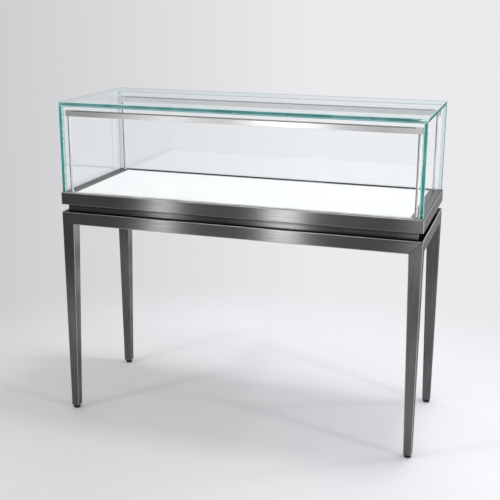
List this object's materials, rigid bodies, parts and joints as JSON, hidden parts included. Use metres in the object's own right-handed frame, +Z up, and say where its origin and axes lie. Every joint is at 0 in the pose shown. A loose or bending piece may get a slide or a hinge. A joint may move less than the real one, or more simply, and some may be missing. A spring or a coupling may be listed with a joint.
{
  "type": "glass display counter",
  "caption": "Counter-height glass display case with a white pull-out deck, slim light bars on posts, and a dark brushed steel table with tapered legs and levelling feet.",
  "frame": {"origin": "on the floor, in the middle of the counter's plan", "axes": "+X along the width to the right as the customer sees it, +Y from the customer's side to the rear, where the deck pulls out, +Z up"},
  "size_m": [1, 0.385, 0.9],
  "materials": {
    "dark_steel": "brushed along each member, darkened, clear lacquered",
    "plinth_black": "matt black powder coat",
    "clear_glass": "clear float glass, polished green edges",
    "white_deck": "satin white laminate",
    "satin_aluminium": "satin anodised",
    "bright_steel": "polished and plated",
    "opal_plastic": "opal, light diffusing",
    "led_board": "white solder mask",
    "zinc_steel": "zinc plated",
    "clear_rubber": "clear silicone",
    "black_plastic": "moulded, fine texture",
    "lead_jacket": "smooth white jacket"
  },
  "bodies": {
    "counter": {"leg_front_left": "dark_steel", "leg_front_right": "dark_steel", "leg_rear_left": "dark_steel", "leg_rear_right": "dark_steel", "rail_front": "dark_steel", "rail_rear": "dark_steel", "rail_left": "dark_steel", "rail_right": "dark_steel", "ring_front": "dark_steel", "ring_left": "dark_steel", "ring_right": "dark_steel", "plinth_tray": "plinth_black", "case_floor": "plinth_black", "pane_top": "clear_glass", "pane_front": "clear_glass", "pane_left": "clear_glass", "pane_right": "clear_glass", "light_channel_front": "satin_aluminium", "light_channel_rear": "satin_aluminium", "light_ends_front": "satin_aluminium", "light_ends_rear": "satin_aluminium", "post_front_left": "bright_steel", "post_front_right": "bright_steel", "post_rear_left": "bright_steel", "post_rear_right": "bright_steel", "post_ferrules": "bright_steel", "light_diffuser_front": "opal_plastic", "light_diffuser_rear": "opal_plastic", "light_board_front": "led_board", "light_board_rear": "led_board", "runners_outer": "zinc_steel", "post_nuts": "zinc_steel", "plinth_screws": "zinc_steel", "ring_screws": "zinc_steel", "leg_inserts": "zinc_steel", "hood_bedding": "clear_rubber", "rear_seals": "clear_rubber", "led_driver": "black_plastic", "power_inlet": "black_plastic", "lead_front": "lead_jacket", "lead_rear": "lead_jacket"},
    "tray": {"deck": "white_deck", "tray_pan": "zinc_steel", "drawer_front": "dark_steel", "pane_rear": "clear_glass", "rear_gasket": "clear_rubber", "runners_inner": "zinc_steel", "lock_housing": "bright_steel"},
    "runner_middles": {"runners_middle": "zinc_steel"},
    "lock": {"lock_plug": "bright_steel", "lock_cam": "zinc_steel"},
    "foot_front_left": {"stem_front_left": "bright_steel", "glide_front_left": "black_plastic"},
    "foot_front_right": {"stem_front_right": "bright_steel", "glide_front_right": "black_plastic"},
    "foot_rear_left": {"stem_rear_left": "bright_steel", "glide_rear_left": "black_plastic"},
    "foot_rear_right": {"stem_rear_right": "bright_steel", "glide_rear_right": "black_plastic"}
  },
  "joints": [
    {"name": "tray_slide", "type": "slide", "parent": "counter", "child": "tray", "axis": [0, 1, 0], "range_m": [0, 0.3]},
    {"name": "runner_slide", "type": "slide", "parent": "counter", "child": "runner_middles", "axis": [0, 1, 0], "range_m": [0, 0.15]},
    {"name": "lock_turn", "type": "hinge", "parent": "tray", "child": "lock", "pos_m": [0, 0.1925, 0.6285], "axis": [0, 1, 0], "range_deg": [0, 90]},
    {"name": "foot_front_left_level", "type": "slide", "parent": "counter", "child": "foot_front_left", "axis": [0, 0, -1], "range_m": [0, 0.01]},
    {"name": "foot_front_right_level", "type": "slide", "parent": "counter", "child": "foot_front_right", "axis": [0, 0, -1], "range_m": [0, 0.01]},
    {"name": "foot_rear_left_level", "type": "slide", "parent": "counter", "child": "foot_rear_left", "axis": [0, 0, -1], "range_m": [0, 0.01]},
    {"name": "foot_rear_right_level", "type": "slide", "parent": "counter", "child": "foot_rear_right", "axis": [0, 0, -1], "range_m": [0, 0.01]}
  ],
  "couplings": [
    {"joint": "runner_slide", "follows": "tray_slide", "ratio": 0.5}
  ]
}
